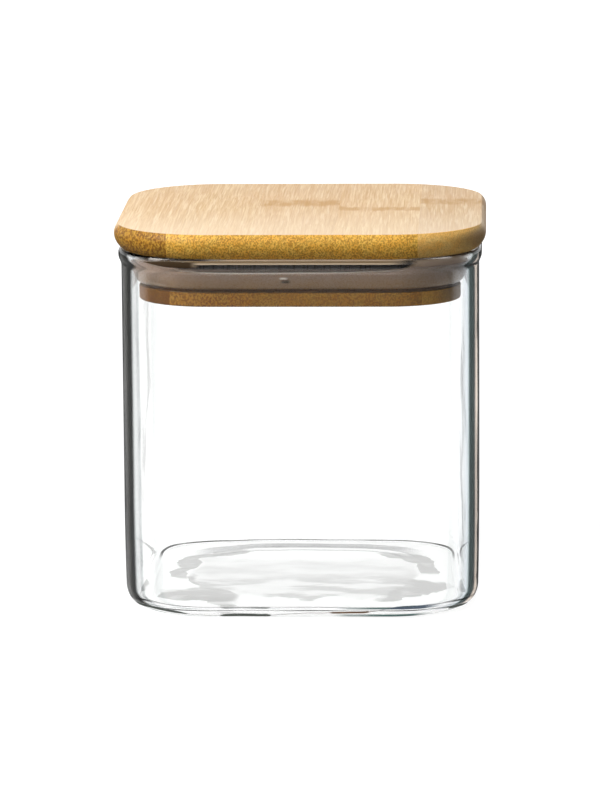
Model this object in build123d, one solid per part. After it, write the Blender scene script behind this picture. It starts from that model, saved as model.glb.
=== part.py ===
# Square storage jar: a blown glass jar, and a lid of glued bamboo strips with a plug and a silicone seal.
# Millimetres. Origin on the table under the middle of the jar, +Z up, -Y towards the front.
# Every plan outline is a rounded square, and all of them share the lid's four corner centres.
from build123d import *
import os

# Lid plate
lid_width = 100.0
lid_corner_radius = 26.0
plate_thickness = 6.7
plate_belly_drop = 2.6
plate_top_inset = 1.1
plate_under_inset = 2.1

# Glue lines between the bamboo strips, from left to right, as shares of the board's width
top_glue_line_shares = (0.154, 0.376, 0.598, 0.82)
plug_glue_line_shares = (0.108, 0.365, 0.622, 0.879)

# Glass jar
lid_overhang = 1.9
jar_height = 97.6
wall = 2.4
floor_thickness = 2.4
heel_radius = 5.0

# Rim of the jar: a rounded bead that stands out from the wall
rim_swell = 0.8
rim_land = 1.0
bead_drop = 1.2
bead_run_out = 3.6

# The middle of the floor is raised, above and below alike, and leaves a foot round it
foot_width = 8.6
punt_depth = 0.9
punt_slope = 8.5

# Plug under the plate: a neck for the seal and a flange that holds it
plug_glass_clearance = 2.5
plug_depth = 13.4
flange_height = 3.8
flange_edge_radius = 0.6
groove_depth = 3.7

# Silicone seal: a sleeve on the neck and a flared skirt that wipes the glass
seal_neck_clearance = 0.1
seal_glass_clearance = 0.2
sleeve_thickness = 1.4
skirt_thickness = 1.2
skirt_root_inset = 0.3
skirt_root_height = 0.3
skirt_bend_height = 5.0
skirt_height = 6.2
skirt_tip_radius = 0.5
trough_radius = 0.8

overrun = 1.0

# A reach is the distance of a straight side, or of a corner's curve, from the corner centre
corner_centre = lid_width / 2 - lid_corner_radius
lid_reach = lid_corner_radius
jar_reach = lid_reach - lid_overhang
bore_reach = jar_reach - wall
floor_fillet_radius = heel_radius - wall
punt_reach = jar_reach - foot_width
punt_top_reach = punt_reach - punt_slope
punt_middle_reach = punt_reach - punt_slope / 2
plug_reach = bore_reach - plug_glass_clearance
neck_reach = plug_reach - groove_depth
plug_width = 2 * (corner_centre + plug_reach)

lid_top = jar_height + plate_thickness
plug_bottom = jar_height - plug_depth
flange_top = plug_bottom + flange_height


def outline(*edges):
    """A profile drawn outwards from a corner centre: X is the distance from it, Z the height."""
    return Plane.XZ * make_face(Curve() + list(edges))


def around(profile, centre):
    """Carry a profile round the four straight sides and the four corners of a rounded square."""
    corner = Pos(centre, centre) * revolve(profile, Axis.Z, 90)
    side = Pos(centre, centre) * extrude(profile, 2 * centre)
    return [Rot(Z=90 * turn) * piece for turn in range(4) for piece in (corner, side)]


def core(centre, low, high):
    """The square block between the four corner centres."""
    return Pos(0, 0, low) * extrude(Rectangle(2 * centre, 2 * centre), high - low)


def make_jar():
    heel = TangentArc((jar_reach - heel_radius, 0), (jar_reach, heel_radius), tangent=(1, 0))
    bead_start = (jar_reach, jar_height - bead_drop - bead_run_out)
    bead_middle = (jar_reach + rim_swell / 2, jar_height - bead_drop - bead_run_out / 2)
    bead_widest = (jar_reach + rim_swell, jar_height - bead_drop)
    land_outer = (bore_reach + bead_drop + rim_land, jar_height)
    land_inner = (bore_reach + bead_drop, jar_height)
    mouth = (bore_reach, jar_height - bead_drop)
    floor_corner = (bore_reach, floor_thickness + floor_fillet_radius)
    floor_edge = (bore_reach - floor_fillet_radius, floor_thickness)
    profile = outline(
        *punt_edges(0),
        Line((punt_reach, 0), (jar_reach - heel_radius, 0)),
        heel,
        Line((jar_reach, heel_radius), bead_start),
        TangentArc(bead_start, bead_middle, tangent=(0, 1)),
        TangentArc(bead_widest, bead_middle, tangent=(0, -1)),
        TangentArc(bead_widest, land_outer, tangent=(0, 1)),
        Line(land_outer, land_inner),
        TangentArc(mouth, land_inner, tangent=(0, 1)),
        Line(mouth, floor_corner),
        TangentArc(floor_corner, floor_edge, tangent=(0, -1)),
        Line(floor_edge, (punt_reach, floor_thickness)),
        *punt_edges(floor_thickness),
        Line((0, floor_thickness + punt_depth), (0, punt_depth)),
    )
    middle = core(corner_centre, punt_depth, floor_thickness + punt_depth)
    return Part() + around(profile, corner_centre) + middle


def punt_edges(height):
    """The floor's raised middle, above a flat at this height: its top and the two arcs of its slope."""
    foot = (punt_reach, height)
    halfway = (punt_middle_reach, height + punt_depth / 2)
    top = (punt_top_reach, height + punt_depth)
    return (
        Line((0, height + punt_depth), top),
        TangentArc(top, halfway, tangent=(1, 0)),
        TangentArc(foot, halfway, tangent=(-1, 0)),
    )


def make_plate():
    """The lid's top board, whose side swells to a belly between a crisp top edge and a rounder lower one."""
    belly = (lid_reach, lid_top - plate_belly_drop)
    top_edge = (lid_reach - plate_top_inset, lid_top)
    under_edge = (lid_reach - plate_under_inset, jar_height)
    profile = outline(
        Line((0, jar_height), under_edge),
        TangentArc(belly, under_edge, tangent=(0, -1)),
        TangentArc(belly, top_edge, tangent=(0, 1)),
        Line(top_edge, (0, lid_top)),
        Line((0, lid_top), (0, jar_height)),
    )
    return Part() + around(profile, corner_centre) + core(corner_centre, jar_height, lid_top)


def make_plug():
    lower_edge = (plug_reach - flange_edge_radius, plug_bottom)
    side_foot = (plug_reach, plug_bottom + flange_edge_radius)
    profile = outline(
        Line((0, plug_bottom), lower_edge),
        TangentArc(lower_edge, side_foot, tangent=(1, 0)),
        Line(side_foot, (plug_reach, flange_top)),
        Line((plug_reach, flange_top), (neck_reach, flange_top)),
        Line((neck_reach, flange_top), (neck_reach, jar_height)),
        Line((neck_reach, jar_height), (0, jar_height)),
        Line((0, jar_height), (0, plug_bottom)),
    )
    return Part() + around(profile, corner_centre) + core(corner_centre, plug_bottom, jar_height)


def make_seal():
    """The seal as it sits when the lid is on, with its skirt folded in by the glass."""
    sleeve_inner = neck_reach + seal_neck_clearance
    sleeve_outer = sleeve_inner + sleeve_thickness
    tip_outer = bore_reach - seal_glass_clearance
    tip_inner = tip_outer - skirt_thickness
    tip_top = flange_top + skirt_height
    tip_shoulder = tip_top - skirt_tip_radius
    root = (plug_reach - skirt_root_inset, flange_top)
    root_top = (plug_reach - skirt_root_inset, flange_top + skirt_root_height)
    bend = (tip_outer, flange_top + skirt_bend_height)
    trough_floor = flange_top + skirt_thickness + skirt_root_height
    trough_side = (sleeve_outer, trough_floor + trough_radius)
    profile = outline(
        Line((sleeve_inner, flange_top), root),
        Line(root, root_top),
        TangentArc(bend, root_top, tangent=(0, -1)),
        Line(bend, (tip_outer, tip_shoulder)),
        TangentArc((tip_outer, tip_shoulder), (tip_outer - skirt_tip_radius, tip_top), tangent=(0, 1)),
        Line((tip_outer - skirt_tip_radius, tip_top), (tip_inner, tip_top)),
        Line((tip_inner, tip_top), (tip_inner, bend[1])),
        TangentArc((tip_inner, bend[1]), (sleeve_outer + trough_radius, trough_floor), tangent=(0, -1)),
        TangentArc(trough_side, (sleeve_outer + trough_radius, trough_floor), tangent=(0, -1)),
        Line(trough_side, (sleeve_outer, jar_height)),
        Line((sleeve_outer, jar_height), (sleeve_inner, jar_height)),
        Line((sleeve_inner, jar_height), (sleeve_inner, flange_top)),
    )
    return Part() + around(profile, corner_centre)


def cut_into_strips(board, board_width, glue_line_shares):
    """Cut a board along its glue lines, and give its strips from left to right."""
    end = board_width / 2 + overrun
    glue_lines = [board_width * share - board_width / 2 for share in glue_line_shares]
    limits = [-end] + glue_lines + [end]
    strips = []
    for left, right in zip(limits, limits[1:]):
        slab = Rectangle(right - left, 2 * end)
        block = Pos((left + right) / 2, 0, -overrun) * extrude(slab, lid_top + 2 * overrun)
        strips.append(board & block)
    return strips


pieces = {"glass_jar": make_jar(), "silicone_seal": make_seal()}
for number, strip in enumerate(cut_into_strips(make_plate(), lid_width, top_glue_line_shares), start=1):
    pieces[f"top_strip_{number}"] = strip
for number, strip in enumerate(cut_into_strips(make_plug(), plug_width, plug_glue_line_shares), start=1):
    pieces[f"plug_strip_{number}"] = strip

os.makedirs("parts", exist_ok=True)
for name, piece in pieces.items():
    export_step(piece, f"parts/{name}.step")
    print(name, "volume", round(piece.volume), "mm3, solids", len(piece.solids()))
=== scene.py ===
# Looks for the square glass jar with its bamboo lid: meshes, materials, studio and camera, round the packed
# frame. Lengths are written in millimetres and become metres through MM, unless a comment says metres.
import math

import bmesh
import bpy
from mathutils import Matrix, Vector, noise


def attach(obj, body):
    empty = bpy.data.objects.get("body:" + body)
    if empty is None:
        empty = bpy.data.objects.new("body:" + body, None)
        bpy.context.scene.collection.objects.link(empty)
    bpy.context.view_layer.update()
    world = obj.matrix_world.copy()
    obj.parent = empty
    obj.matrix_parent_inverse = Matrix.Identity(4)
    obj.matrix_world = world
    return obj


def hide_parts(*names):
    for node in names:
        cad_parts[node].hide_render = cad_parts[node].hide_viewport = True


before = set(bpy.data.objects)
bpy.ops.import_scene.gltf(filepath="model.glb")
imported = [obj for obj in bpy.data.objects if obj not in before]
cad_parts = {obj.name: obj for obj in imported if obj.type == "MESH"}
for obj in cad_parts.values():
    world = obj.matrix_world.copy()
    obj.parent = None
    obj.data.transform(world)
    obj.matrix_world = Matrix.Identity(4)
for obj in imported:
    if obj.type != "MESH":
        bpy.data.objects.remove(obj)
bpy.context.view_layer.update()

MM = 0.001

# Camera, found from the photograph's edges
IMAGE_LONG_SIDE = 801
FOCAL_PIXELS = 5005.0
SENSOR = 36.0
CAMERA_PLACE = (0.05052, -1.35326, 0.30034)
CAMERA_YAW = -0.0382
CAMERA_PITCH = 0.18213
CAMERA_ROLL = -0.00715
CLIP_START = 0.01
CLIP_END = 20

# Rounded squares: where a corner's centre lies, and how finely the outline and the profiles are cut
CENTRE = 24.0
CORNER_STEPS = 28
SIDE_STEPS = 16
MERGE = 0.002

# Glass
GLASS_HALF = 48.1
BORE_HALF = 45.7
GLASS_TOP = 97.58
FLOOR_TOP = 2.4
HEEL = 5.0
HEEL_STEPS = 12
FLOOR_FILLET = 2.6
TAPER = 0.4
TAPER_HEIGHT = 28.0
TAPER_STEPS = 14
INNER_STEPS = 24

# The rim's bead and its flat top. A drop is a depth below the glass's top
BEAD_MIDDLE_HALF = 48.5
BEAD_HALF = 48.9
BEAD_DROP = 4.8
BEAD_MIDDLE_DROP = 3.2
BEAD_WIDEST_DROP = 1.6
BEAD_PULL = 0.8
LAND_OUTER = 47.9
LAND_INNER = 46.9
MOUTH_DROP = 1.2

# The floor's raised middle, and the crease where the inner floor meets the wall's fillet
PUNT_HALF = 39.5
PUNT_DEPTH = 0.9
PUNT_SLOPE = 8.5
FLOOR_RISE = 0.25
CREASE = 0.22
CREASE_WIDTH = 0.9
CREASE_SHARES = ((0.15, 0.3), (0.3, 0.75), (0.5, 1.0), (0.7, 0.75), (0.85, 0.3), (1.0, 0.0))

# How far the glass wanders, slowly and finely, and over what length this fades out
SLOW_WANDER = 0.16
FINE_WANDER = 0.05
SIDEWAYS_SHARE = 0.6
WANDER_FADE = 6.0
FOOT_LEVEL = 2.0

# Lid
LID_HALF = 50.0
LID_TOP = 104.299
PLATE_BOTTOM = 97.6
BELLY = 101.7
PLUG_HALF = 43.2
PLUG_BOTTOM = 84.2
PLUG_EDGE = 0.6
FLANGE_TOP = 88.0
FLANGE_EDGE = 0.3
NECK_HALF = 39.5
TOP_GLUE_SHARES = (0.154, 0.376, 0.598, 0.82)
PLUG_GLUE_SHARES = (0.108, 0.365, 0.622, 0.879)
GLUE_EDGE = 0.045

# Seal
SLEEVE_INNER = 39.6
SLEEVE_OUTER = 41.0
SEAL_BOTTOM = FLANGE_TOP + 0.02
SEAL_TOP = PLATE_BOTTOM - 0.02
SEAL_ROOT = 42.0
ROOT_HEIGHT = 0.55
KNEE = (43.2, 89.0)
KNEE_PULL = (42.1, 88.8)
SKIRT_PULL = (44.3, 89.3)
TIP_OUTER = 45.5
TIP_INNER = 44.3
TIP_TOP = 94.2
TIP_RADIUS = 0.5
SKIRT_BEND = 93.0
BEND_SHARE = 0.6
TROUGH = 89.5
TROUGH_RADIUS = 0.8
RIB_OUTER = 42.4
RIB_LOW = 95.2
RIB_MIDDLE = 95.7
RIB_HIGH = 96.3

# The mark of the mould's gate on the front of the skirt: its centre and its half size
GATE_CENTRE = (-3.5, -45.03, 91.85)
GATE_SIZE = (1.4, 0.4, 0.7)

# How far the skirt's lip rises above its lowest line, by the share of the way round from the middle of the +X side
LIP_RISE = (
    (0.0, 0.3), (0.07, 0.9), (0.125, 2.6), (0.18, 1.2), (0.25, 0.2), (0.32, 1.0), (0.375, 2.5), (0.43, 1.4),
    (0.50, 0.6), (0.565, 2.4), (0.61, 2.9), (0.645, 2.1), (0.675, 0.7), (0.72, 0.0), (0.76, 0.1), (0.81, 0.9),
    (0.845, 2.4), (0.88, 2.9), (0.93, 1.9), (1.0, 0.3),
)

# Bamboo: the pattern's steps from strip to strip and its sway, in metres
SEED_STEP = (0.031, 0.017, 0.023)
BAMBOO_SWAY = (0.0005, 0.0, 0.0010)

# Bamboo: waves or cells per metre along X, Y and Z. The bundles and the maze are those of the end grain
BANDS = (420, 7, 420)
FIBRES = (5200, 45, 5200)
STROKES = (2000, 60, 2000)
CLOUDS = (70, 40, 160)
SMEARS = (280, 90, 420)
RAGS = (300, 40, 300)
RAG_SIZE = 4.5
BUNDLES_ACROSS = 1750
BUNDLES_ALONG = 26
BUNDLES_UP = 1500
MAZE_ACROSS = 2300
MAZE_UP = 1800

# Materials of the glass, by their place in the mesh's list. The foot bends light less, so that the floor above it
# stays clear
WALL, CLEAR, FOOT = range(3)
GLASS_IOR = 1.48
FOOT_IOR = 1.2
SHADOW_TINT = (0.75, 0.755, 0.75)
THINNEST_STREAK = 0.14
PATCH_SWAY = (0.012, 0.022, 0.0)

# The front of the jar in Y: where paint that only the front has begins, and where it is full
FRONT = (-20.0, -28.0)

# Painted lines of light and shade on the front rim: from and to in Z, and how soft. Long lines run from and to in
# X
UPPER_LINE = (97.32, 97.6, 0.04)
DARK_LINE = (96.78, 97.26, 0.05)
MIDDLE_LINE = (96.35, 96.72, 0.08)
LOWER_LINE = (94.2, 95.1, 0.15)
LINE_SPAN = (-30.0, 27.0, 4.0)
CRESCENT_HEIGHT = 96.15

# Centres of the squares that the lines and patches of the floor go round
RING_CENTRE = 14.0
PATCH_CENTRE = 4.0

# Painted shade: grey patches of the pressed ring under the floor. From and to in X, from and to in Y, from and to
# in reach
PATCHES = (
    (-41, -15, -2, 32, 28.5, 34.5), (20, 40, 2, 31, 27.5, 33.5), (-38, -29, -22, 0, 24.0, 28.5),
    (-42, -18, -40, -19, 27.0, 39.5), (22, 43, -34, -8, 26.0, 36.5),
)

# Painted shade and reflections towards the turned-away edge, lighter on the right than on the left: how far the
# wall is turned away, and the colour there
LEFT_EDGE = (
    (0.0, (1, 1, 1)), (0.19, (1, 1, 1)), (0.225, (0.80, 0.82, 0.82)), (0.265, (0.74, 0.76, 0.76)),
    (0.30, (1, 1, 1)), (0.41, (1, 1, 1)), (0.425, (0.62, 0.64, 0.65)), (0.44, (0.38, 0.40, 0.41)),
    (0.462, (0.40, 0.42, 0.43)), (0.48, (0.54, 0.55, 0.56)), (0.52, (0.52, 0.54, 0.54)),
    (0.54, (0.27, 0.28, 0.28)), (0.562, (0.03, 0.032, 0.032)), (0.58, (0.0006, 0.0007, 0.0007)),
    (0.65, (0.0008, 0.0008, 0.0007)), (0.69, (0.004, 0.004, 0.0035)), (0.73, (0.012, 0.012, 0.011)),
    (0.77, (0.04, 0.04, 0.038)), (1.0, (0.06, 0.06, 0.06)),
)
RIGHT_EDGE = (
    (0.0, (1, 1, 1)), (0.24, (1, 1, 1)), (0.27, (0.80, 0.82, 0.82)), (0.31, (0.84, 0.86, 0.86)),
    (0.36, (0.95, 0.96, 0.98)), (0.40, (0.86, 0.88, 0.91)), (0.425, (0.68, 0.70, 0.73)),
    (0.45, (0.56, 0.60, 0.63)), (0.50, (0.55, 0.61, 0.68)), (0.53, (0.30, 0.38, 0.40)),
    (0.55, (0.03, 0.045, 0.047)), (0.57, (0.0025, 0.0050, 0.0050)), (0.67, (0.0030, 0.0050, 0.0050)),
    (0.70, (0.03, 0.03, 0.028)), (0.735, (0.75, 0.55, 0.42)), (0.80, (0.88, 0.68, 0.52)),
    (1.0, (0.75, 0.62, 0.5)),
)

# How each bamboo strip looks, from left to right
TOP_LOOKS = (
    dict(seed=1, tone=(1.0, 1.0, 0.98), end_tone=(0.61, 0.52, 0.33), coarse=1.3, contrast=1.2),
    dict(seed=2, tone=(1.0, 1.0, 0.98), end_tone=(1.0, 0.95, 0.86), coarse=0.95, contrast=0.95),
    dict(seed=3, end_tone=(1.0, 0.95, 0.86), coarse=0.9, contrast=0.95,
         node_place=10, node_width=8, node_depth=0.6),
    dict(seed=4, tone=(1.02, 1.02, 1.0), end_tone=(1.05, 1.0, 0.90), coarse=1.0, contrast=0.95,
         node_place=-1, node_width=5, node_depth=0.6),
    dict(seed=5, tone=(0.97, 0.98, 1.0), end_tone=(1.05, 1.05, 1.7), coarse=0.8, contrast=0.45,
         node_place=13, node_width=8, node_depth=0.6),
)
# The plug's strips are painted far darker than the top's: painted shade, for the shade that they lie in under the
# lid and behind the glass. The two outer strips are darker still.
PLUG_LOOKS = (
    dict(seed=6, tone=(0.27, 0.21, 0.12), end_tone=(0.22, 0.14, 0.06), coarse=0.9, contrast=0.4),
    dict(seed=7, tone=(0.39, 0.335, 0.24), end_tone=(0.50, 0.39, 0.30), coarse=1.25, contrast=1.0),
    dict(seed=8, tone=(0.37, 0.32, 0.23), end_tone=(0.47, 0.375, 0.28), coarse=1.0, contrast=0.75),
    dict(seed=9, tone=(0.37, 0.32, 0.23), end_tone=(0.47, 0.375, 0.28), coarse=1.1, contrast=0.8),
    dict(seed=10, tone=(0.22, 0.18, 0.12), end_tone=(0.62, 0.54, 0.52), coarse=1.0, contrast=0.5),
)

# Studio, in metres: the floor's half size, where it fades to white, and where its mirror images grow plain
FLOOR_HALF = 4
FLOOR_FADE = (0.2, 0.6)
VEIL_FADE = (0.22, 0.32)

# The world's greys by height, from 0 below to 1 above: what glass sees, and the light on matt surfaces
MIRRORED_BANDS = ((0.0, 1.0), (0.26, 0.97), (0.42, 0.35), (0.66, 0.40), (0.82, 1.0))
DOME_LIGHT = ((0.0, 0.10), (1.0, 0.75))

# Lamps: name, place, size, watts. All of them look at one point
LAMP_TARGET = (0, 0, 0.06)
LAMPS = (
    ("key", (-0.32, -0.27, 0.45), (0.4, 0.25), 2.6),
    ("fill", (-0.1, -0.8, 0.24), (0.5, 0.2), 0.2),
    ("back", (-0.1, 0.7, 0.9), (0.8, 0.6), 1.6),
)


# ---- Meshes


def link(data, name):
    thing = bpy.data.objects.new(name, data)
    bpy.context.scene.collection.objects.link(thing)
    return thing


def places_round():
    """Places round a rounded square: the signs of X and Y, which slide along a side, and the direction outward."""
    signs = [(1, 1), (-1, 1), (-1, -1), (1, -1)]
    places = []
    for turn in range(4):
        for step in range(CORNER_STEPS + 1):
            angle = math.radians(90 * (turn + step / CORNER_STEPS))
            places.append((signs[turn], (math.cos(angle), math.sin(angle))))
        here, there = signs[turn], signs[(turn + 1) % 4]
        angle = math.radians(90 * (turn + 1))
        for step in range(1, SIDE_STEPS):
            share = step / SIDE_STEPS
            mixed = tuple(a + (b - a) * share for a, b in zip(here, there))
            places.append((mixed, (math.cos(angle), math.sin(angle))))
    return places


PLACES = places_round()


def loft(profiles, materials=None, wobble=None):
    """A closed mesh round the rounded square, from a profile of half widths and heights for each place.

    materials has a material for each ring, and wobble moves a point, given its direction and its ring.
    """
    mesh = bmesh.new()
    columns = []
    for (sign, direction), profile in zip(PLACES, profiles):
        column = []
        for ring, (half, height) in enumerate(profile):
            radius = max(half - CENTRE, 0.0)
            centre = half - radius
            point = Vector([s * centre + d * radius for s, d in zip(sign, direction)] + [height])
            if wobble:
                point = wobble(point, Vector((*direction, 0)), ring)
            column.append(mesh.verts.new(point * MM))
        columns.append(column)
    for left, right in zip(columns, columns[1:] + columns[:1]):
        for ring in range(len(left) - 1):
            face = mesh.faces.new((left[ring], right[ring], right[ring + 1], left[ring + 1]))
            face.material_index = materials[ring] if materials else 0
            face.smooth = True
    bmesh.ops.remove_doubles(mesh, verts=mesh.verts[:], dist=MERGE * MM)
    bmesh.ops.recalc_face_normals(mesh, faces=mesh.faces[:])
    return mesh


def to_object(mesh, name, materials, sharp=30.0):
    data = bpy.data.meshes.new(name)
    mesh.to_mesh(data)
    mesh.free()
    for material in materials:
        data.materials.append(material)
    data.set_sharp_from_angle(angle=math.radians(sharp))
    return link(data, name)


def bend(start, pull, end, steps):
    """Points along a smooth bend, without its start."""
    points = []
    for step in range(1, steps + 1):
        t = step / steps
        first, middle, last = (1 - t) ** 2, 2 * t * (1 - t), t ** 2
        points.append(tuple(first * a + middle * b + last * c for a, b, c in zip(start, pull, end)))
    return points


def run(start, end, steps):
    """Points along a straight run, without its start."""
    return [tuple(a + (b - a) * step / steps for a, b in zip(start, end)) for step in range(1, steps + 1)]


def held(value):
    """A value held between 0 and 1."""
    return min(1.0, max(0.0, value))


# ---- Glass


def taper(height):
    """How much narrower than its top the wall is at a height."""
    share = max(0.0, 1 - height / TAPER_HEIGHT)
    return TAPER * share * share


def punt_points(height, depth):
    """The floor's raised middle, from its centre out to the foot."""
    foot, halfway = (PUNT_HALF, height), (PUNT_HALF - PUNT_SLOPE / 2, height + depth / 2)
    top = (PUNT_HALF - PUNT_SLOPE, height + depth)
    points = [(0, top[1])] + run((0, top[1]), top, 12)
    points += bend(top, (top[0] + PUNT_SLOPE / 4, top[1]), halfway, 5)
    return points + bend(halfway, (PUNT_HALF - PUNT_SLOPE / 4, height), foot, 5)


def outer_glass():
    """The outside, from under the middle up to the inner end of the rim's flat top, with each ring's material."""
    bottom = GLASS_HALF - TAPER
    points = punt_points(0, PUNT_DEPTH)
    points += run(points[-1], (bottom - HEEL, 0), 5)
    points += bend(points[-1], (bottom - 0.1 * HEEL, 0), (GLASS_HALF - taper(HEEL), HEEL), HEEL_STEPS)
    foot_rings = len(points) - HEEL_STEPS // 2
    for step in range(1, TAPER_STEPS + 1):
        height = HEEL + (TAPER_HEIGHT - HEEL) * step / TAPER_STEPS
        points.append((GLASS_HALF - taper(height), height))
    foot = (GLASS_HALF, GLASS_TOP - BEAD_DROP)
    middle = (BEAD_MIDDLE_HALF, GLASS_TOP - BEAD_MIDDLE_DROP)
    widest = (BEAD_HALF, GLASS_TOP - BEAD_WIDEST_DROP)
    points += run(points[-1], foot, 14)
    points += bend(foot, (GLASS_HALF, foot[1] + BEAD_PULL), middle, 5)
    points += bend(middle, (BEAD_HALF, middle[1] + BEAD_PULL), widest, 5)
    points += bend(widest, (BEAD_HALF, GLASS_TOP), (LAND_OUTER, GLASS_TOP), 8)
    wall_rings = len(points) - 1 - foot_rings
    points.append((LAND_INNER, GLASS_TOP))
    return points, [FOOT] * foot_rings + [WALL] * wall_rings + [CLEAR] * 2


def inner_glass():
    """The inside, from the rim's flat top down to the middle of the floor."""
    mouth, fillet_top = GLASS_TOP - MOUTH_DROP, FLOOR_TOP + FLOOR_FILLET
    points = bend((LAND_INNER, GLASS_TOP), (BORE_HALF, GLASS_TOP), (BORE_HALF, mouth), 6)
    for step in range(1, INNER_STEPS + 1):
        height = mouth + (fillet_top - mouth) * step / INNER_STEPS
        points.append((BORE_HALF - taper(height), height))
    edge = BORE_HALF - taper(fillet_top) - FLOOR_FILLET
    points += bend(points[-1], (edge + 0.95 * FLOOR_FILLET, FLOOR_TOP), (edge, FLOOR_TOP), 12)
    points += [(edge - share * CREASE_WIDTH, FLOOR_TOP - CREASE * deep) for share, deep in CREASE_SHARES]
    return points + run(points[-1], (PUNT_HALF, FLOOR_TOP), 3) + punt_points(FLOOR_TOP, FLOOR_RISE)[-2::-1]


OUTER_GLASS, OUTER_MATERIALS = outer_glass()
INNER_GLASS = inner_glass()


def glass_wobble(point, direction, ring):
    """Gentle unevenness of the glass, on the inner faces and under the base."""
    inner = ring >= len(OUTER_GLASS)
    if not inner and point.z > FOOT_LEVEL:
        return point
    slow = noise.noise(point * 0.05 + Vector((7, 3, 1 + 5 * inner)))
    fine = noise.noise(point * 0.13 + Vector((2, 9, 4 + 5 * inner)))
    push = SLOW_WANDER * slow + FINE_WANDER * fine
    if not inner:
        centre = held((PUNT_HALF - max(abs(point.x), abs(point.y))) / WANDER_FADE)
        return Vector((point.x, point.y, max(0.0, point.z + push * centre)))
    steep = held((point.z - FLOOR_TOP - FLOOR_RISE) / FLOOR_FILLET)
    near_rim = held((GLASS_TOP - point.z) / WANDER_FADE)
    return point + direction * SIDEWAYS_SHARE * push * steep * near_rim + Vector((0, 0, 1)) * push * (1 - steep)


def glass_mesh():
    profile = OUTER_GLASS + INNER_GLASS
    materials = OUTER_MATERIALS + [CLEAR] * len(INNER_GLASS)
    return loft([profile] * len(PLACES), materials, glass_wobble)


# ---- Lid boards


def plate_profile():
    belly, soft_top = (LID_HALF, BELLY), (LID_HALF - 1.0, LID_TOP - 0.24)
    points = [(0, PLATE_BOTTOM), (CENTRE, PLATE_BOTTOM), (LID_HALF - 2.4, PLATE_BOTTOM)]
    points += bend(points[-1], (LID_HALF - 2.1, PLATE_BOTTOM), (LID_HALF - 1.85, PLATE_BOTTOM + 0.33), 3)
    points += bend(points[-1], (LID_HALF - 0.02, BELLY - 2.2), belly, 10)
    points += bend(belly, (LID_HALF, BELLY + 1.4), soft_top, 8)
    points += bend(soft_top, (LID_HALF - 1.12, LID_TOP), (LID_HALF - 1.45, LID_TOP), 4)
    return points + [(CENTRE, LID_TOP), (0, LID_TOP)]


def plug_profile():
    points = [(0, PLUG_BOTTOM), (CENTRE, PLUG_BOTTOM), (PLUG_HALF - PLUG_EDGE, PLUG_BOTTOM)]
    points += bend(points[-1], (PLUG_HALF, PLUG_BOTTOM), (PLUG_HALF, PLUG_BOTTOM + PLUG_EDGE), 4)
    points += [(PLUG_HALF, FLANGE_TOP - FLANGE_EDGE)]
    points += bend(points[-1], (PLUG_HALF, FLANGE_TOP), (PLUG_HALF - FLANGE_EDGE, FLANGE_TOP), 3)
    points += [(NECK_HALF, FLANGE_TOP), (NECK_HALF, PLATE_BOTTOM)]
    return points + [(CENTRE, PLATE_BOTTOM), (0, PLATE_BOTTOM)]


def strips(profile, width, shares):
    """Cut a board along its glue lines. Each cut edge is eased a little, so that the glue line shows."""
    limits = [-width] + [width * share - width / 2 for share in shares] + [width]
    boards = []
    for left, right in zip(limits, limits[1:]):
        mesh = loft([profile] * len(PLACES))
        for place, way in ((left, -1), (right, 1)):
            if abs(place) == width:
                continue
            cut = bmesh.ops.bisect_plane(mesh, geom=mesh.verts[:] + mesh.edges[:] + mesh.faces[:],
                                         plane_co=(place * MM, 0, 0), plane_no=(way, 0, 0), clear_outer=True)
            edges = [thing for thing in cut["geom_cut"] if isinstance(thing, bmesh.types.BMEdge)]
            bmesh.ops.holes_fill(mesh, edges=edges, sides=0)
            edges = [edge for edge in edges if edge.is_valid]
            bmesh.ops.bevel(mesh, geom=edges, offset=GLUE_EDGE * MM, segments=1, affect="EDGES",
                            clamp_overlap=True)
        bmesh.ops.recalc_face_normals(mesh, faces=mesh.faces[:])
        boards.append(mesh)
    return boards


# ---- Seal


def rise_at(number):
    """The lip's rise at a place round the seal, smoothly between the entries of the table."""
    share = (number / len(PLACES) + 0.5 * SIDE_STEPS / len(PLACES)) % 1.0
    for (left, low), (right, high) in zip(LIP_RISE, LIP_RISE[1:]):
        if left <= share <= right:
            t = (share - left) / (right - left)
            return low + (high - low) * t * t * (3 - 2 * t)
    return 0.0


def seal_profile(rise):
    """The skirt from its root to its lip and back into the trough, and the sleeve with its rib."""
    tip, bend_height = TIP_TOP + rise, SKIRT_BEND + BEND_SHARE * rise
    points = [(SLEEVE_INNER, SEAL_BOTTOM)] + run((SLEEVE_INNER, SEAL_BOTTOM), (SEAL_ROOT, SEAL_BOTTOM), 3)
    points += [(SEAL_ROOT, FLANGE_TOP + ROOT_HEIGHT)]
    points += bend(points[-1], KNEE_PULL, KNEE, 3)
    points += bend(points[-1], SKIRT_PULL, (TIP_OUTER, bend_height), 10)
    points += run(points[-1], (TIP_OUTER, tip - TIP_RADIUS), 3)
    points += bend(points[-1], (TIP_OUTER, tip), (TIP_OUTER - TIP_RADIUS, tip), 4)
    points += bend(points[-1], (TIP_INNER, tip), (TIP_INNER, tip - TIP_RADIUS), 4)
    points += [(TIP_INNER, bend_height)]
    points += bend(points[-1], (TIP_INNER - 0.2, TROUGH + 0.1), (SLEEVE_OUTER + TROUGH_RADIUS, TROUGH), 6)
    points += bend(points[-1], (SLEEVE_OUTER, TROUGH), (SLEEVE_OUTER, TROUGH + TROUGH_RADIUS), 4)
    points += [(SLEEVE_OUTER, RIB_LOW)]
    points += bend(points[-1], (RIB_OUTER, RIB_LOW - 0.05), (RIB_OUTER, RIB_MIDDLE), 6)
    points += bend(points[-1], (RIB_OUTER, RIB_HIGH - 0.05), (SLEEVE_OUTER, RIB_HIGH), 6)
    return points + [(SLEEVE_OUTER, SEAL_TOP), (SLEEVE_INNER, SEAL_TOP), (SLEEVE_INNER, SEAL_BOTTOM)]


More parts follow.
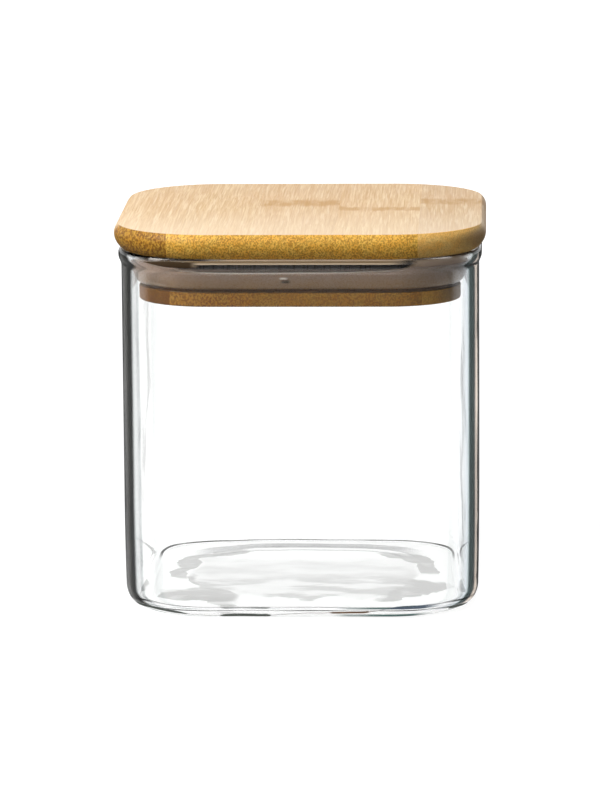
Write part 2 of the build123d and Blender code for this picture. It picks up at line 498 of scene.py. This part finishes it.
def seal_mesh():
    """The seal, with the lens-shaped mark that the mould's gate leaves on its front."""
    mesh = loft([seal_profile(rise_at(number)) for number in range(len(PLACES))])
    mark = bmesh.ops.create_uvsphere(mesh, u_segments=20, v_segments=12, radius=1.0)
    for vert in mark["verts"]:
        vert.co = Vector([c + s * v for c, s, v in zip(GATE_CENTRE, GATE_SIZE, vert.co)]) * MM
    for face in {face for vert in mark["verts"] for face in vert.link_faces}:
        face.smooth = True
    return mesh


# ---- Nodes


def rgb(red, green, blue):
    return (red, green, blue, 1.0)


WHITE = rgb(1.0, 1.0, 1.0)


class Nodes:
    """Short calls for building a node tree."""

    def __init__(self, tree):
        self.tree = tree

    def node(self, kind, inputs=(), **settings):
        made = self.tree.nodes.new(kind)
        for key, value in settings.items():
            setattr(made, key, value)
        for key, value in dict(inputs).items():
            self.put(made.inputs[key], value)
        return made

    def put(self, socket, value):
        if isinstance(value, bpy.types.NodeSocket):
            self.tree.links.new(value, socket)
        else:
            socket.default_value = value

    def math(self, operation, a, b=0.0, c=0.0, clamp=False):
        made = self.node("ShaderNodeMath", {0: a, 1: b, 2: c}, operation=operation, use_clamp=clamp)
        return made.outputs[0]

    def size(self, value):
        """A value without its sign."""
        return self.math("ABSOLUTE", value)

    def vector(self, operation, a, b):
        return self.node("ShaderNodeVectorMath", {0: a, 1: b}, operation=operation).outputs[0]

    def length(self, vector):
        return self.node("ShaderNodeVectorMath", {0: vector}, operation="LENGTH").outputs["Value"]

    def split(self, vector):
        return self.node("ShaderNodeSeparateXYZ", {"Vector": vector}).outputs[:]

    def smooth(self, value, low, high, start=0.0, end=1.0):
        """From start to end as the value goes from low to high, smoothly, and level beyond."""
        limits = {"Value": value, "From Min": low, "From Max": high, "To Min": start, "To Max": end}
        return self.node("ShaderNodeMapRange", limits, interpolation_type="SMOOTHSTEP").outputs["Result"]

    def window(self, value, low, high, soft):
        """1 between two limits, with soft edges."""
        rise = self.smooth(value, low - soft, low + soft)
        return self.math("MULTIPLY", rise, self.smooth(value, high - soft, high + soft, 1.0, 0.0))

    def product(self, *values):
        total = values[0]
        for value in values[1:]:
            total = self.math("MULTIPLY", total, value)
        return total

    def largest(self, *values):
        total = values[0]
        for value in values[1:]:
            total = self.math("MAXIMUM", total, value)
        return total

    def mix(self, factor, a, b, blend="MIX"):
        made = self.node("ShaderNodeMix", data_type="RGBA", blend_type=blend)
        self.put(made.inputs[0], factor)
        self.put(made.inputs[6], a)
        self.put(made.inputs[7], b)
        return made.outputs[2]

    def layers(self, colour, *layers):
        """Lay colours over a colour, one after the other, each by its own amount."""
        for amount, over in layers:
            colour = self.mix(amount, colour, over)
        return colour

    def ramp(self, value, stops):
        """A colour that follows a value through stops."""
        made = self.node("ShaderNodeValToRGB", {"Fac": value})
        elements = made.color_ramp.elements
        while len(elements) < len(stops):
            elements.new(0.5)
        for element, (position, colour) in zip(elements, stops):
            element.position = position
            element.color = rgb(*colour)
        return made.outputs["Color"]

    def noise(self, vector, scale=1.0, detail=2.0, roughness=0.5):
        inputs = {"Vector": vector, "Scale": scale, "Detail": detail, "Roughness": roughness}
        return self.node("ShaderNodeTexNoise", inputs).outputs["Fac"]

    def streaks(self, vector, scale, **settings):
        """Noise with a scale of its own for each axis."""
        return self.noise(self.vector("MULTIPLY", vector, scale), **settings)

    def swayed(self, vector, scale, detail, size):
        """A place pushed about by soft noise, by up to half the size either way."""
        inputs = {"Vector": vector, "Scale": scale, "Detail": detail}
        push = self.node("ShaderNodeTexNoise", inputs).outputs["Color"]
        push = self.vector("SUBTRACT", push, (0.5, 0.5, 0.5))
        return self.vector("ADD", vector, self.vector("MULTIPLY", push, size))

    def cells(self, vector, scale, randomness):
        inputs = {"Vector": self.vector("MULTIPLY", vector, scale), "Scale": 1.0, "Randomness": randomness}
        return self.node("ShaderNodeTexVoronoi", inputs, voronoi_dimensions="3D").outputs

    def seen_by(self, *kinds):
        """1 for the named kinds of ray, where no matt surface has scattered them on their way."""
        path = self.node("ShaderNodeLightPath").outputs
        straight = self.math("LESS_THAN", path["Diffuse Depth"], 0.5)
        return self.product(self.largest(*[path[f"Is {kind} Ray"] for kind in kinds]), straight)


class Material(Nodes):
    """A material's node tree, with the place on the piece that wears it, in metres and in millimetres."""

    def __init__(self, name):
        self.material = bpy.data.materials.new(name)
        self.material.use_nodes = True
        super().__init__(self.material.node_tree)
        self.shader = self.tree.nodes["Principled BSDF"]
        coordinates = self.node("ShaderNodeTexCoord").outputs
        self.place, self.normal = coordinates["Object"], coordinates["Normal"]
        self.x, self.y, self.z = self.millimetres(self.place)

    def millimetres(self, place):
        return self.split(self.vector("DIVIDE", place, (MM, MM, MM)))

    def reach(self, centre, place=None):
        """Distance in millimetres from a square round the middle, the same all round a rounded square."""
        outward = self.vector("ABSOLUTE", self.place if place is None else place, (0, 0, 0))
        outward = self.vector("SUBTRACT", outward, (centre * MM, centre * MM, 1))
        return self.math("DIVIDE", self.length(self.vector("MAXIMUM", outward, (0, 0, 0))), MM)

    def facing(self):
        """How far a face is turned away: 0 where it is seen straight on, 1 at its outline."""
        return self.node("ShaderNodeLayerWeight", {"Blend": 0.5}).outputs["Facing"]

    def bump(self, height, strength, distance):
        inputs = {"Height": height, "Strength": strength, "Distance": distance}
        return self.node("ShaderNodeBump", inputs).outputs["Normal"]

    def set(self, **sockets):
        for key, value in sockets.items():
            self.put(self.shader.inputs[key.replace("_", " ")], value)

    def mix_shaders(self, factor, first, second):
        return self.node("ShaderNodeMixShader", {0: factor, 1: first, 2: second}).outputs["Shader"]

    def finish(self, surface):
        self.put(self.tree.nodes["Material Output"].inputs["Surface"], surface)


# ---- Bamboo and silicone


def bamboo(name, seed, tone=(1, 1, 1), end_tone=(1, 1, 1), coarse=1.0, contrast=1.0,
           node_place=0.0, node_width=6.0, node_depth=0.0):
    """Bamboo whose bundles run along Y: spots on the end grain and streaks on the faces.

    coarse and contrast are those of the end grain. The node mark is the smeared brown band that crosses a strip
    at node_place and reaches node_width to each side.
    """
    n = Material(name)
    across, up = BUNDLES_ACROSS / coarse, BUNDLES_UP / coarse
    point = n.vector("ADD", n.place, tuple(seed * step for step in SEED_STEP))
    point = n.swayed(point, 45.0, 1.0, BAMBOO_SWAY)
    bands = n.streaks(point, BANDS)
    fibres = n.streaks(point, FIBRES, detail=3.0, roughness=0.6)
    strokes = n.streaks(point, STROKES)
    clouds = n.streaks(point, CLOUDS, detail=3.0)
    cells = n.cells(point, (across, BUNDLES_ALONG, up), 0.9)
    chance = n.node("ShaderNodeSeparateColor", {"Color": cells["Color"]}).outputs[0]
    dots = n.product(n.smooth(cells["Distance"], 0.22, 0.66, 1.0, 0.0), n.smooth(chance, 0.0, 0.7, 0.5, 1.0))

    ragged = n.math("MULTIPLY_ADD", n.streaks(point, RAGS, detail=3.0), 2 * RAG_SIZE, -RAG_SIZE)
    away = n.size(n.math("SUBTRACT", n.math("ADD", n.y, ragged), node_place))
    smears = n.smooth(n.streaks(point, SMEARS, detail=3.0), 0.34, 0.60, 0.40, 1.45)
    mark = n.product(n.smooth(away, 0.3 * node_width, node_width, 1.0, 0.0), node_depth)
    mark = n.math("MULTIPLY", mark, smears, clamp=True)

    pale = n.layers(
        n.mix(n.smooth(bands, 0.35, 0.68), rgb(0.77, 0.535, 0.29), rgb(0.85, 0.635, 0.385)),
        (n.smooth(fibres, 0.38, 0.70, 0.0, 0.65), rgb(0.60, 0.37, 0.16)),
        (n.product(dots, 0.55), rgb(0.60, 0.36, 0.17)),
        (n.smooth(strokes, 0.45, 0.68, 0.0, 0.5), rgb(0.62, 0.38, 0.17)),
        (n.smooth(strokes, 0.48, 0.30, 0.0, 0.5), rgb(0.95, 0.78, 0.56)),
        (n.smooth(clouds, 0.3, 0.75, 0.0, 0.30), rgb(0.74, 0.47, 0.27)),
        (mark, rgb(0.56, 0.31, 0.10)),
        # painted light: the faces grow lighter and paler towards the front edge, where more light falls
        (n.smooth(n.y, 10.0, -50.0, 0.0, 0.45), rgb(0.93, 0.77, 0.57)),
    )
    pale = n.mix(1.0, pale, rgb(*tone), blend="MULTIPLY")

    maze = n.streaks(point, (MAZE_ACROSS / coarse, up, MAZE_UP / coarse), detail=1.0)
    bundles = n.smooth(n.cells(point, (across, up, up), 0.85)["Distance"], 0.2, 0.6, 0.35, 0.0)
    spots = n.math("ADD", n.smooth(maze, 0.43, 0.56, 0.0, 0.8), bundles)
    gold = n.layers(
        n.mix(n.smooth(bands, 0.3, 0.7), rgb(0.98, 0.54, 0.075), rgb(1.0, 0.66, 0.13)),
        (n.smooth(fibres, 0.36, 0.66, 0.0, 0.35), rgb(0.60, 0.29, 0.025)),
        (n.math("MULTIPLY", spots, 0.8 * contrast, clamp=True), rgb(0.36, 0.165, 0.012)),
    )
    gold = n.mix(1.0, gold, rgb(*end_tone), blend="MULTIPLY")
    to_right, to_back, _ = n.split(n.normal)
    # painted shade: the end grain grows darker where it turns to the right, away from the lamps
    gold = n.mix(n.smooth(to_right, 0.55, 0.95, 0.0, 0.75), gold, rgb(0.16, 0.10, 0.05))

    relief = n.math("ADD", n.product(fibres, 0.6), n.product(dots, -0.8))
    n.set(Base_Color=n.mix(n.smooth(n.size(to_back), 0.03, 0.25), pale, gold),
          Roughness=n.smooth(fibres, 0.3, 0.7, 0.44, 0.60), Normal=n.bump(relief, 0.35, 0.00008),
          Specular_IOR_Level=0.4)
    return n.material


def silicone():
    """Milky silicone, darker and warmer low on the skirt: painted shade where the skirt turns down, and the
    bamboo showing through where it is thin.

    Painted over it, in this order: fine dust, painted shade at the right front corner and under the gate mark,
    painted highlights on the lip and the gate mark, and on the sleeve a pale band of painted light, with painted
    shade over the rib and at the foot.
    """
    n = Material("silicone")
    milky = n.noise(n.place, scale=90.0, detail=3.0)
    dust = n.noise(n.place, scale=2600.0, detail=2.0)
    reach = n.reach(CENTRE)
    front = n.smooth(n.y, *FRONT)
    thin = n.math("ADD", n.smooth(n.z, 93.4, 89.4), n.smooth(milky, 0.3, 0.7, -0.2, 0.2), clamp=True)
    up = n.split(n.normal)[2]
    lip = n.product(n.smooth(up, 0.05, 0.5), n.smooth(reach, 20.2, 20.6), n.window(n.z, 93.3, 94.8, 0.2), 0.9)
    glint = n.product(n.window(n.x, -4.5, -2.7, 0.6), n.window(n.z, 92.0, 92.5, 0.1),
                      n.smooth(reach, 21.18, 21.24), front)
    below = n.product(n.window(n.x, -4.2, -2.0, 0.6), n.window(n.z, 90.9, 91.8, 0.2), front)
    sleeve = n.smooth(reach, 18.2, 18.9, 1.0, 0.0)
    colour = n.layers(
        # darker and warmer low on the skirt: in part painted shade, in part the bamboo showing through
        n.mix(thin, rgb(0.41, 0.28, 0.20), rgb(0.38, 0.23, 0.115)),
        (n.smooth(dust, 0.62, 0.75, 0.0, 0.4), rgb(0.46, 0.36, 0.28)),
        # painted shade at the right front corner
        (n.product(n.smooth(n.x, 39.0, 45.0, 0.0, 0.6), front), rgb(0.13, 0.09, 0.07)),
        # painted shade under the gate mark
        (below, rgb(0.12, 0.08, 0.045)),
        # painted highlights on the lip and on the gate mark
        (n.largest(lip, glint), rgb(1.0, 0.90, 0.78)),
        # on the sleeve: a pale band of painted light, painted shade over the rib and above it, and painted shade
        # at the foot
        (n.product(sleeve, n.smooth(n.z, 90.2, 90.6)), rgb(1.0, 0.82, 0.64)),
        (n.product(sleeve, n.smooth(n.z, 94.55, 94.7)), rgb(0.05, 0.03, 0.02)),
        (n.product(sleeve, n.smooth(n.z, 90.0, 90.5, 1.0, 0.0)), rgb(0.20, 0.11, 0.05)),
    )
    relief = n.bump(n.math("ADD", dust, n.product(milky, 4.0)), 0.25, 0.00006)
    n.set(Base_Color=colour, Roughness=n.smooth(dust, 0.3, 0.7, 0.24, 0.36), Normal=relief,
          Subsurface_Weight=0.25, Subsurface_Radius=(0.0022, 0.0018, 0.0015), Subsurface_Scale=1.0)
    return n.material


# ---- Glass materials


def glass(name):
    """Clear glass with a faint unevenness."""
    n = Material(name)
    waves = n.noise(n.place, scale=34.0, detail=2.0)
    n.set(Transmission_Weight=1.0, Roughness=0.0, IOR=GLASS_IOR, Normal=n.bump(waves, 0.4, 0.0004))
    return n


def finish_glass(n, veil, veil_colour, paint=0.0, paint_colour=WHITE):
    """Where the veil is 1 the glass is a plain tinted film, and where the paint is 1 it is matt.

    They are painted light and shade, standing for what the real glass refracts. Shadow rays go straight through,
    so that the shadow stays light.
    """
    film = n.node("ShaderNodeBsdfTransparent", {"Color": veil_colour}).outputs["BSDF"]
    matt = n.node("ShaderNodeBsdfDiffuse", {"Color": paint_colour}).outputs["BSDF"]
    clear = n.node("ShaderNodeBsdfTransparent", {"Color": rgb(*SHADOW_TINT)}).outputs["BSDF"]
    surface = n.mix_shaders(veil, n.shader.outputs["BSDF"], film)
    surface = n.mix_shaders(paint, surface, matt)
    n.finish(n.mix_shaders(n.node("ShaderNodeLightPath").outputs["Is Shadow Ray"], surface, clear))


def heel_streak(n):
    """Painted shade: the dark streaks that the heel's thick glass shows on every side. How dark, and their colour.
    """
    on_side = n.math("GREATER_THAN", n.size(n.x), n.size(n.y))
    along = n.mix(on_side, n.x, n.y)
    wander = n.streaks(n.place, (70, 70, 0), detail=3.0)
    height = n.math("ADD", n.smooth(along, -12, 10, 0.8, 1.9), n.smooth(along, 17, 27, 0.0, 1.4))
    height = n.math("ADD", height, n.smooth(along, -24, -42, 0.0, 0.9))
    height = n.math("ADD", height, n.smooth(wander, 0.2, 0.8, -0.25, 0.25))
    width = n.largest(
        n.product(n.window(along, -21, -8, 1.2), 0.7),
        n.product(n.smooth(along, -27, -34), 0.5),
        n.product(n.window(along, 8, 19, 1.5), 0.33),
        n.product(n.smooth(along, 22, 28), 0.60),
        THINNEST_STREAK,
    )
    away = n.math("DIVIDE", n.size(n.math("SUBTRACT", n.z, height)), width)
    heel = n.product(n.smooth(n.reach(CENTRE), 19.3, 20.0), n.window(along, -44, 36, 3.0))
    dark = n.product(n.smooth(away, 0.6, 1.1, 1.0, 0.0), n.smooth(width, THINNEST_STREAK, 0.3, 0.6, 1.0), heel,
                     n.smooth(n.y, 25.0, -35.0, 0.08, 1.0))
    colour = n.mix(n.smooth(along, -6, 6), rgb(0.09, 0.10, 0.09), rgb(0.13, 0.065, 0.03))
    return dark, n.mix(n.smooth(along, 19, 24), colour, rgb(0.10, 0.13, 0.17))


def wall_tint(n):
    """The wall's tint: painted shade and reflections where a round corner turns away, as thick glass shows them.
    """
    facing = n.facing()
    to_right, _, up = n.split(n.normal)
    tint = n.mix(n.smooth(to_right, -0.3, 0.3), n.ramp(facing, LEFT_EDGE), n.ramp(facing, RIGHT_EDGE))
    from_flat = n.math("MINIMUM", n.size(n.x), n.size(n.y))
    turned = n.product(n.smooth(from_flat, 22.5, 24.5), n.smooth(facing, 0.6, 0.66))
    round_corner = n.largest(n.smooth(from_flat, 22.5, 31.5), turned)
    under = n.smooth(up, -0.45, -0.92)
    return n.mix(under, n.mix(round_corner, WHITE, tint), rgb(0.93, 0.97, 0.96))


def rim_paint(n, front):
    """The lines and shades that the photograph shows on the front rim: how strong, and their colour.

    Two pale lines of painted light with a dark line between them, a weak pale line lower down, a dark crescent of
    painted shade that runs out to the left end, and a soft painted shade in the right corner.
    """
    away = n.size(n.math("SUBTRACT", n.z, CRESCENT_HEIGHT))
    away = n.math("DIVIDE", away, n.smooth(n.x, -42.0, -34.0, 0.02, 0.95))
    crescent = n.product(n.smooth(away, 0.75, 1.0, 1.0, 0.0), n.smooth(n.x, -25.5, -28.5), front, 0.97)
    corner = n.product(n.window(n.x, 32.0, 45.0, 3.0), n.window(n.z, 95.2, 97.3, 0.5), front, 0.85)
    span = n.window(n.x, *LINE_SPAN)
    dark = n.product(n.window(n.z, *DARK_LINE), span, front, 0.8)
    middle = n.product(n.window(n.z, *MIDDLE_LINE), span, front, 0.95)
    upper = n.product(n.window(n.z, *UPPER_LINE), n.window(n.x, -21.0, 30.0, 4.0), front, 0.75)
    lower = n.product(n.window(n.z, *LOWER_LINE), n.window(n.x, -33.0, 26.0, 4.0), front,
                      n.smooth(n.x, -20.0, -12.0, 0.6, 0.4))
    colour = n.layers(
        rgb(0.66, 0.51, 0.35),
        (dark, rgb(0.20, 0.125, 0.055)),
        (n.largest(corner, n.smooth(n.z, 95.9, 95.5)), rgb(0.33, 0.25, 0.20)),
        (crescent, rgb(0.04, 0.022, 0.009)),
    )
    return n.largest(middle, upper, crescent, corner, dark, lower), colour


def wall_glass():
    """The outer wall with the rim's bead, its painted streaks and lines, and a painted shade under the lid."""
    n = glass("glass_wall")
    n.set(Base_Color=wall_tint(n))
    front = n.smooth(n.y, *FRONT)
    streak, streak_colour = heel_streak(n)
    # painted shade under the lid: a grey film over the front of the bead, on both sides of the middle
    band = n.product(n.smooth(n.z, 96.3, 97.4), n.window(n.size(n.x), 24.0, 46.0, 2.0), front)
    band_colour = n.mix(n.smooth(n.x, -10.0, 10.0), rgb(0.52, 0.49, 0.46), rgb(0.52, 0.50, 0.49))
    finish_glass(n, n.largest(streak, band), n.mix(band, streak_colour, band_colour), *rim_paint(n, front))
    return n.material


def clear_glass():
    """The rim's top and the inner faces, with painted grey lines at the floor's edge and the pressed ring's back.
    """
    n = glass("glass_clear")
    n.set(Base_Color=rgb(0.99, 1.0, 0.995))
    streaks = n.noise(n.place, scale=45.0, detail=2.0)
    low = n.smooth(n.z, 4.0, 5.0, 1.0, 0.0)
    ends = n.math("ADD", n.math("SUBTRACT", n.size(n.y), n.size(n.x)), n.smooth(n.y, 0.0, 10.0, 0.0, 12.0))
    # painted shade: the grey lines that the glass refracts at the floor's edge and behind the pressed ring
    line = n.product(n.window(n.reach(CENTRE), 19.1, 20.0, 0.1), n.smooth(streaks, 0.35, 0.6, 0.6, 1.0),
                     n.smooth(ends, -18.0, -5.0, 0.05, 1.0), low)
    wide = n.reach(RING_CENTRE)
    ring = n.largest(n.window(wide, 23.2, 24.6, 0.15), n.product(n.window(wide, 17.8, 23.2, 0.2), 0.9),
                     n.product(n.window(wide, 13.8, 15.4, 0.2), 0.6))
    behind = n.product(n.window(n.x, -30.0, 30.0, 5.0), n.smooth(n.y, 18.0, 24.0), low)
    ring = n.product(ring, behind, n.smooth(streaks, 0.3, 0.6, 0.7, 1.0))
    # painted shade under the lid, on the front left of the rim
    edge = n.product(n.smooth(n.z, 96.4, 97.2), n.window(n.x, -47.0, -18.0, 5.0), n.smooth(n.y, *FRONT))
    colour = n.layers(rgb(0.50, 0.50, 0.505), (line, rgb(0.10, 0.10, 0.10)), (edge, rgb(0.36, 0.34, 0.32)))
    finish_glass(n, n.largest(line, ring, n.product(edge, 0.5)), colour)
    return n.material


def foot_glass():
    """The underside, seen through the floor: mostly clear, with painted shade in the grey patches that its uneven
    surface shows.

    The patches fade where the base is seen steeply.
    """
    n = Material("glass_foot")
    swayed = n.swayed(n.place, 80.0, 3.0, PATCH_SWAY)
    x, y, _ = n.millimetres(swayed)
    reach, round_reach = n.reach(RING_CENTRE, swayed), n.reach(PATCH_CENTRE, swayed)
    streaks = n.streaks(n.place, (45, 110, 0), detail=3.0)
    fine = n.smooth(n.streaks(n.place, (160, 260, 0)), 0.3, 0.5, 0.75, 0.95)
    # painted shade: the grey patches
    marks = []
    for x0, x1, y0, y1, r0, r1 in PATCHES:
        area = n.product(n.window(x, x0, x1, 2.0), n.window(y, y0, y1, 2.0))
        marks.append(n.product(area, n.window(round_reach, r0, r1, 0.3), fine))
    marks.append(n.product(n.smooth(streaks, 0.34, 0.56), n.smooth(y, 8.0, -12.0),
                           n.smooth(reach, 15.5, 17.5, 1.0, 0.0), 0.8))
    marks.append(n.product(n.smooth(reach, 14.5, 18.5, 1.0, 0.0), n.smooth(y, 26.0, 10.0),
                           n.smooth(streaks, 0.3, 0.7, 0.22, 0.55)))
    grey = n.product(n.largest(*marks), n.smooth(n.facing(), 0.13, 0.23, 0.30, 1.0))
    tint = n.mix(grey, WHITE, rgb(0.43, 0.425, 0.42))
    n.set(Transmission_Weight=1.0, Roughness=0.0, IOR=FOOT_IOR, Base_Color=tint)

    # painted shade: the dark line round the heel's edge
    bottom = n.reach(CENTRE)
    strong = n.product(n.window(n.x, 11.0, 33.0, 3.0), n.smooth(streaks, 0.3, 0.5, 0.7, 1.0))
    patchy = n.largest(strong, n.smooth(streaks, 0.40, 0.60, 0.15, 0.7))
    rim = n.product(n.window(bottom, 19.2, 20.3, 0.2), patchy, n.smooth(n.y, -10.0, -40.0, 0.05, 1.0))
    rim = n.largest(rim, n.product(n.window(bottom, 19.4, 22.2, 0.2), strong, n.smooth(n.y, -30.0, -40.0)))
    streak, streak_colour = heel_streak(n)
    colour = n.layers(tint, (rim, rgb(0.10, 0.16, 0.15)), (streak, streak_colour))
    finish_glass(n, n.largest(streak, rim, 0.85), colour)
    return n.material


# ---- Pieces


def ride(piece, body, node):
    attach(piece, body)
    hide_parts(node)


def make_pieces():
    jar = to_object(glass_mesh(), "jar_glass", [wall_glass(), clear_glass(), foot_glass()], sharp=50.0)
    ride(jar, "jar", "glass_jar")
    ride(to_object(seal_mesh(), "seal", [silicone()]), "lid", "silicone_seal")
    for board, profile, half, shares, looks in (
        ("top", plate_profile(), LID_HALF, TOP_GLUE_SHARES, TOP_LOOKS),
        ("plug", plug_profile(), PLUG_HALF, PLUG_GLUE_SHARES, PLUG_LOOKS),
    ):
        for number, (mesh, look) in enumerate(zip(strips(profile, 2 * half, shares), looks), start=1):
            name = f"{board}_strip_{number}"
            ride(to_object(mesh, f"lid_{name}", [bamboo(f"bamboo_{name}", **look)]), "lid", name)


# ---- Studio


def make_floor():
    """A pale floor that looks nearly white and keeps the jar's shadow.

    Glass and the camera see it bright. Light from it on matt surfaces stays low, and so do its mirror images in
    the front half, which would otherwise lay a white veil over the seal and the plug.
    """
    mesh = bmesh.new()
    corners = ((-1, -1), (1, -1), (1, 1), (-1, 1))
    mesh.faces.new([mesh.verts.new((x * FLOOR_HALF, y * FLOOR_HALF, 0)) for x, y in corners])
    n = Material("floor")
    n.set(Base_Color=rgb(0.20, 0.20, 0.20), Roughness=0.9, Specular_IOR_Level=0.0)
    distance = n.length(n.place)
    far = n.smooth(n.smooth(distance, *FLOOR_FADE), 0.0, 1.0, 0.84, 1.0)
    strength = n.largest(far, n.product(n.seen_by("Transmission", "Glossy"), 0.97))
    pale = n.node("ShaderNodeBsdfDiffuse", {"Color": rgb(0.30, 0.30, 0.30)})
    glow = n.node("ShaderNodeEmission", {"Color": WHITE, "Strength": strength})
    bright = n.node("ShaderNodeAddShader", {0: pale.outputs[0], 1: glow.outputs[0]}).outputs[0]
    under_jar = n.product(n.seen_by("Glossy"), n.smooth(n.reach(CENTRE), 21.0, 24.0, 1.0, 0.0))
    mirrored = n.math("GREATER_THAN", n.node("ShaderNodeLightPath").outputs["Glossy Depth"], 0.5)
    veiled = n.product(mirrored, n.smooth(distance, *VEIL_FADE), n.smooth(n.y, 60.0, -20.0))
    through = n.product(n.seen_by("Transmission"), n.math("SUBTRACT", 1.0, veiled))
    seen = n.largest(n.seen_by("Camera"), through, under_jar)
    n.finish(n.mix_shaders(seen, n.shader.outputs[0], bright))
    floor = to_object(mesh, "floor", [n.material])


def make_world():
    """Soft light from all round. The camera sees it white, and glass sees it in pale and grey bands."""
    world = bpy.data.worlds.new("studio")
    bpy.context.scene.world = world
    world.use_nodes = True
    n = Nodes(world.node_tree)
    height = n.split(n.node("ShaderNodeTexCoord").outputs["Generated"])[2]
    bands = n.ramp(height, [(position, (grey, grey, grey)) for position, grey in MIRRORED_BANDS])
    dome = n.ramp(height, [(position, (grey, grey, grey)) for position, grey in DOME_LIGHT])
    seen = n.mix(n.seen_by("Glossy", "Transmission"), dome, bands)
    background = n.tree.nodes["Background"]
    n.put(background.inputs["Color"], n.mix(n.seen_by("Camera"), seen, WHITE))
    n.put(background.inputs["Strength"], 1.0)


def lamp(name, place, size, watts):
    data = bpy.data.lights.new(name, "AREA")
    data.shape = "RECTANGLE"
    data.size, data.size_y = size
    data.energy = watts
    thing = link(data, name)
    thing.location = place
    thing.rotation_mode = "QUATERNION"
    thing.rotation_quaternion = (Vector(LAMP_TARGET) - Vector(place)).to_track_quat("-Z", "Y")


def make_camera():
    forward = Vector((math.sin(CAMERA_YAW) * math.cos(CAMERA_PITCH),
                      math.cos(CAMERA_YAW) * math.cos(CAMERA_PITCH), -math.sin(CAMERA_PITCH)))
    level_right = Vector((math.cos(CAMERA_YAW), -math.sin(CAMERA_YAW), 0))
    level_up = level_right.cross(forward)
    right = level_right * math.cos(CAMERA_ROLL) + level_up * math.sin(CAMERA_ROLL)
    up = level_up * math.cos(CAMERA_ROLL) - level_right * math.sin(CAMERA_ROLL)
    data = bpy.data.cameras.new("camera")
    data.lens = FOCAL_PIXELS * SENSOR / IMAGE_LONG_SIDE
    data.sensor_width = SENSOR
    data.clip_start = CLIP_START
    data.clip_end = CLIP_END
    camera = link(data, "camera")
    turn = Matrix((right, up, -forward)).transposed().to_4x4()
    camera.matrix_world = Matrix.Translation(CAMERA_PLACE) @ turn
    bpy.context.scene.camera = camera


make_pieces()
make_floor()
make_world()
for settings in LAMPS:
    lamp(*settings)
make_camera()
bpy.context.scene.view_settings.view_transform = "Standard"
